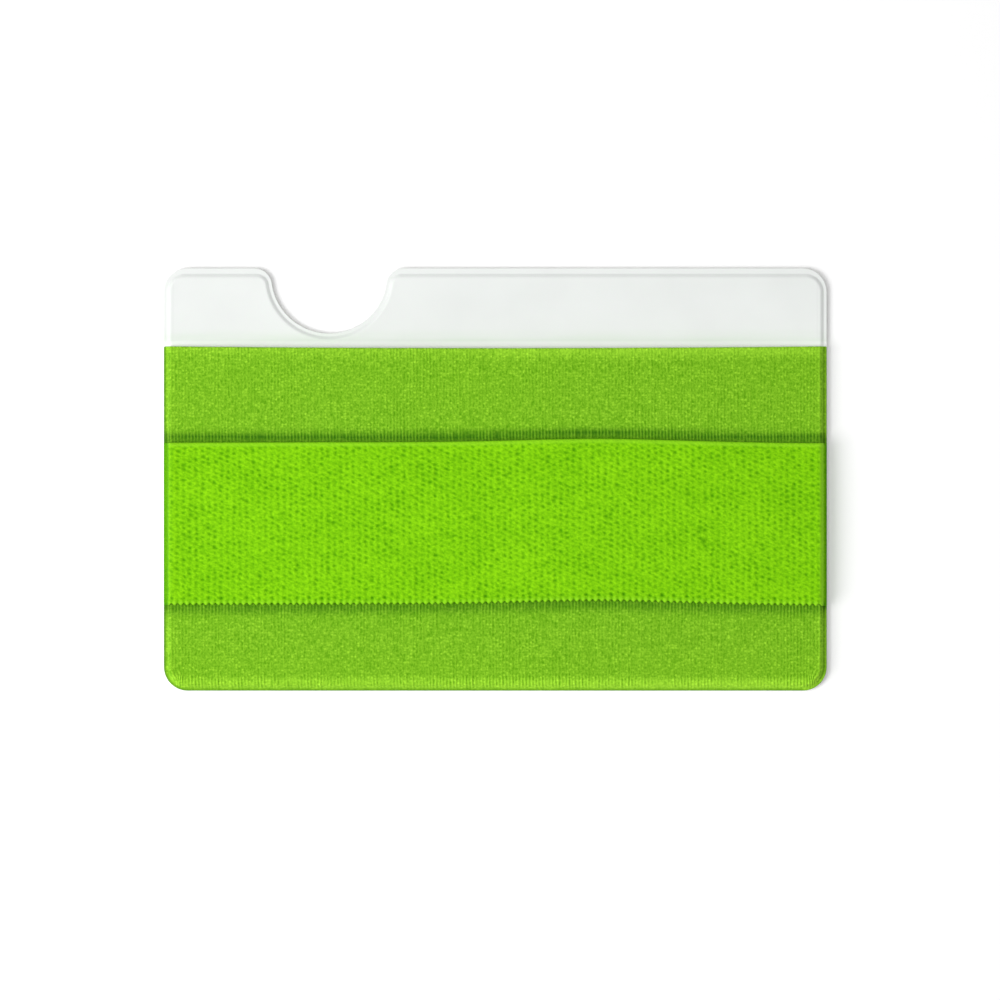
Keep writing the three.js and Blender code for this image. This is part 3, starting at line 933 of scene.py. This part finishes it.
def stretch_cloth(pocket):
    """Knitted stretch cloth: ribs, rows of stitches, a speckle of painted satin sheen, painted light along
    its edges, dark where it is pressed, and painted shade beside the strap.
    """
    gloss = dict(Roughness=0.7, IOR=1.45, Specular_IOR_Level=0.08, Sheen_Weight=0.06, Sheen_Roughness=0.4)
    finish, tree, shader = new_finish("stretch_cloth", **gloss)
    shader.inputs["Sheen Tint"].default_value = (0.6, 1, 0.25, 1)
    sheen_speckle = grain(tree, 1 / pocket.course_pitch, (1.35, 0.95, 1.0), detail=2, rough=0.6)
    fine = grain(tree, 1 / pocket.course_pitch, (2.6, 1.9, 1.0), detail=1)
    stitch = stitches(tree, pocket.rib_pitch, pocket.course_pitch)
    rib = mark(tree, "rib")
    tone = total(tree, (rib, KNIT_RIB), (sheen_speckle, KNIT_SHEEN_SPECKLE), (fine, KNIT_FINE), (stitch, KNIT_STITCH))
    factor = maths(tree, "MAXIMUM", ranged(tree, tone, *KNIT_TONES, clamp=False), 0.0)
    knit = shades(tree, factor, pocket.deep, pocket.light)
    # Fold mark: darker pressed cloth, and painted shade beside the strap and in the pinches.
    tree.links.new(tinged(tree, mark(tree, "fold"), knit, pocket.dark), shader.inputs["Base Color"])
    tree.links.new(bump(tree, tone, 0.045 * MM), shader.inputs["Normal"])
    return finish


def stitches(tree, across, along):
    """Stitches of a knit in loose rows and columns, each a dot that is brighter or duller than the next."""
    size = (1 / across, 1 / along, 1)
    mapped = node(tree, "ShaderNodeMapping", {"Vector": object_place(tree), "Scale": size}).outputs[0]
    inputs = {"Vector": mapped, "Scale": 1.0, "Randomness": 0.7}
    made = node(tree, "ShaderNodeTexVoronoi", inputs, voronoi_dimensions="2D")
    dot = ranged(tree, made.outputs["Distance"], 0.62, 0.05)
    own = node(tree, "ShaderNodeSeparateColor", {"Color": made.outputs["Color"]}).outputs["Red"]
    return maths(tree, "MULTIPLY", dot, maths(tree, "MULTIPLY", own, own))


def woven_elastic(strap):
    """Woven elastic: slanting yarns, painted shade in the pits, and paler on the loops of the lower edge,
    partly with a painted highlight.
    """
    gloss = dict(Roughness=0.75, IOR=1.45, Specular_IOR_Level=0.05, Sheen_Weight=0.03, Sheen_Roughness=0.5)
    finish, tree, shader = new_finish("woven_elastic", **gloss)
    shader.inputs["Sheen Tint"].default_value = (0.6, 1, 0.2, 1)
    inputs = {"Vector": object_place(tree), "Rotation": (0, 0, YARN_TURN), "Scale": YARN_GRAIN}
    slanted = node(tree, "ShaderNodeMapping", inputs, vector_type="TEXTURE").outputs[0]
    yarn = node(tree, "ShaderNodeTexNoise", {"Vector": slanted, "Scale": 1.0, "Detail": 2.0}).outputs["Fac"]
    fibre = grain(tree, 1 / strap.weft_pitch, (3.5, 5.0, 1.0), detail=1)
    patch = grain(tree, 260, (0.5, 1.0, 1.0), detail=1)
    pit = mark(tree, "pit")
    tone = total(tree, (yarn, WEAVE_YARN), (fibre, WEAVE_FIBRE), (patch, WEAVE_PATCH), (pit, WEAVE_PIT_SHADE))
    woven = shades(tree, ranged(tree, tone, *WEAVE_TONES), strap.deep, strap.light)
    darkened = tinged(tree, pit, woven, strap.dark)
    tree.links.new(tinged(tree, mark(tree, "bead"), darkened, strap.pale), shader.inputs["Base Color"])
    tree.links.new(bump(tree, tone, 0.05 * MM), shader.inputs["Normal"])
    return finish


def adhesive_film(backing):
    """Pale tacky film with a faint cloudiness."""
    finish, tree, shader = new_finish("adhesive_film", Roughness=0.45, IOR=1.47)
    cloud = grain(tree, 160, detail=3)
    film = shades(tree, cloud, scaled(backing.adhesive, 0.94), scaled(backing.adhesive, 1.04))
    tree.links.new(film, shader.inputs["Base Color"])
    tree.links.new(bump(tree, grain(tree, 1400), 0.01 * MM), shader.inputs["Normal"])
    return finish


def liner_paper(backing):
    """Siliconised paper: smooth, with short pale fibres and a soft gloss."""
    finish, tree, shader = new_finish("liner_paper", Roughness=0.42, IOR=1.45)
    fibre = grain(tree, 1500, (1.0, 0.25, 1.0), detail=4, rough=0.6)
    paper = shades(tree, fibre, scaled(backing.paper, 0.92), scaled(backing.paper, 1.06))
    tree.links.new(paper, shader.inputs["Base Color"])
    tree.links.new(bump(tree, fibre, 0.008 * MM), shader.inputs["Normal"])
    return finish


def floor_paint(stage):
    """Plain pale paint, almost without gloss."""
    finish, _, shader = new_finish("pale_floor", Roughness=0.9, Specular_IOR_Level=0.1)
    shader.inputs["Base Color"].default_value = (*stage.floor, 1)
    return finish


# Operators


class HOLDER_OT_back_plate(bpy.types.Operator):
    """Frosted back plate with the thumb notch and the pressed rim"""

    bl_idname = "holder.back_plate"
    bl_label = "Back plate"

    def execute(self, context):
        plate = context.scene.card_holder.plate
        bm = plate_mesh(plate)
        piece = make_piece("frosted_back_plate", bm, frosted_plastic(plate), "back_plate")
        piece.data.shade_smooth()
        piece.data.set_sharp_from_angle(angle=math.radians(50))
        return {"FINISHED"}


class HOLDER_OT_pocket(bpy.types.Operator):
    """Stretch-cloth pocket, folded at its mouth and pressed to the rim on three sides"""

    bl_idname = "holder.pocket"
    bl_label = "Pocket"

    def execute(self, context):
        settings = context.scene.card_holder
        form = PocketForm(settings.plate, settings.pocket, settings.strap)
        bm = rolled_sheet(pocket_sections(form, settings.pocket))
        finish = stretch_cloth(settings.pocket)
        piece = make_piece("stretch_cloth_pocket", bm, finish, "pocket_panel")
        piece.data.shade_smooth()
        return {"FINISHED"}


class HOLDER_OT_finger_strap(bpy.types.Operator):
    """Woven elastic finger strap with a looped lower edge"""

    bl_idname = "holder.finger_strap"
    bl_label = "Finger strap"

    def execute(self, context):
        settings = context.scene.card_holder
        form = StrapForm(PocketForm(settings.plate, settings.pocket, settings.strap), settings.strap)
        bm = rolled_sheet(strap_sections(form, settings.strap))
        finish = woven_elastic(settings.strap)
        piece = make_piece("woven_finger_strap", bm, finish, "finger_strap")
        piece.data.shade_smooth()
        return {"FINISHED"}


class HOLDER_OT_backing(bpy.types.Operator):
    """Finishes of the adhesive pad and the release liner"""

    bl_idname = "holder.backing"
    bl_label = "Adhesive and liner"

    def execute(self, context):
        backing = context.scene.card_holder.backing
        finishes = {"adhesive_pad": adhesive_film(backing), "release_liner": liner_paper(backing)}
        for name, finish in finishes.items():
            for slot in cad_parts[name].material_slots:
                slot.material = finish
        return {"FINISHED"}


class HOLDER_OT_stage(bpy.types.Operator):
    """Pale floor, soft light from the left and the camera straight above"""

    bl_idname = "holder.stage"
    bl_label = "Stage"

    def execute(self, context):
        stage = context.scene.card_holder.stage
        scene = context.scene
        scene.view_settings.view_transform = "Standard"
        bm = bmesh.new()
        bmesh.ops.create_grid(bm, x_segments=1, y_segments=1, size=FLOOR_HALF)
        bmesh.ops.translate(bm, verts=bm.verts, vec=(0, 0, -FLOOR_GAP))
        mesh = bpy.data.meshes.new("floor")
        bm.to_mesh(mesh)
        bm.free()
        mesh.materials.append(floor_paint(stage))
        floor = bpy.data.objects.new("floor", mesh)
        scene.collection.objects.link(floor)
        for name, place, size, power in LIGHTS:
            soft_box(name, place, size, power)
        world = bpy.data.worlds.new("studio")
        world.use_nodes = True
        world.node_tree.nodes["Background"].inputs["Color"].default_value = (1, 1, 1, 1)
        world.node_tree.nodes["Background"].inputs["Strength"].default_value = WORLD_LIGHT
        scene.world = world
        camera = bpy.data.cameras.new("camera")
        camera.sensor_width = SENSOR
        camera.lens = SENSOR * stage.camera_height / stage.frame_width
        camera.clip_end = 10
        eye = bpy.data.objects.new("camera", camera)
        eye.location = (stage.aim_x, stage.aim_y, stage.camera_height)
        scene.collection.objects.link(eye)
        scene.camera = eye
        return {"FINISHED"}


def soft_box(name, place, size, power):
    """A square soft box that looks at the holder."""
    light = bpy.data.lights.new(name, "AREA")
    light.shape = "SQUARE"
    light.size = size
    light.energy = power
    box = bpy.data.objects.new(name, light)
    box.location = place
    box.rotation_euler = (-Vector(place)).to_track_quat("-Z", "Y").to_euler()
    bpy.context.scene.collection.objects.link(box)


class HOLDER_PT_panel(bpy.types.Panel):
    """Panel in the 3D view's sidebar"""

    bl_idname = "HOLDER_PT_panel"
    bl_label = "Card holder"
    bl_space_type = "VIEW_3D"
    bl_region_type = "UI"
    bl_category = "Card holder"

    def draw(self, context):
        settings = context.scene.card_holder
        for operator, group in PANEL_ROWS:
            box = self.layout.box()
            box.operator(operator)
            values = getattr(settings, group)
            for name in values.bl_rna.properties.keys():
                if name not in ("rna_type", "name"):
                    box.prop(values, name)


PANEL_ROWS = (
    ("holder.back_plate", "plate"),
    ("holder.pocket", "pocket"),
    ("holder.finger_strap", "strap"),
    ("holder.backing", "backing"),
    ("holder.stage", "stage"),
)

CLASSES = (
    PlateSettings,
    PocketSettings,
    StrapSettings,
    BackingSettings,
    StageSettings,
    CardHolderSettings,
    HOLDER_OT_back_plate,
    HOLDER_OT_pocket,
    HOLDER_OT_finger_strap,
    HOLDER_OT_backing,
    HOLDER_OT_stage,
    HOLDER_PT_panel,
)


def register():
    for cls in CLASSES:
        bpy.utils.register_class(cls)
    bpy.types.Scene.card_holder = PointerProperty(type=CardHolderSettings)


def unregister():
    del bpy.types.Scene.card_holder
    for cls in reversed(CLASSES):
        bpy.utils.unregister_class(cls)


def main():
    register()
    bpy.ops.holder.back_plate()
    bpy.ops.holder.pocket()
    bpy.ops.holder.finger_strap()
    bpy.ops.holder.backing()
    bpy.ops.holder.stage()


if __name__ == "__main__":
    main()
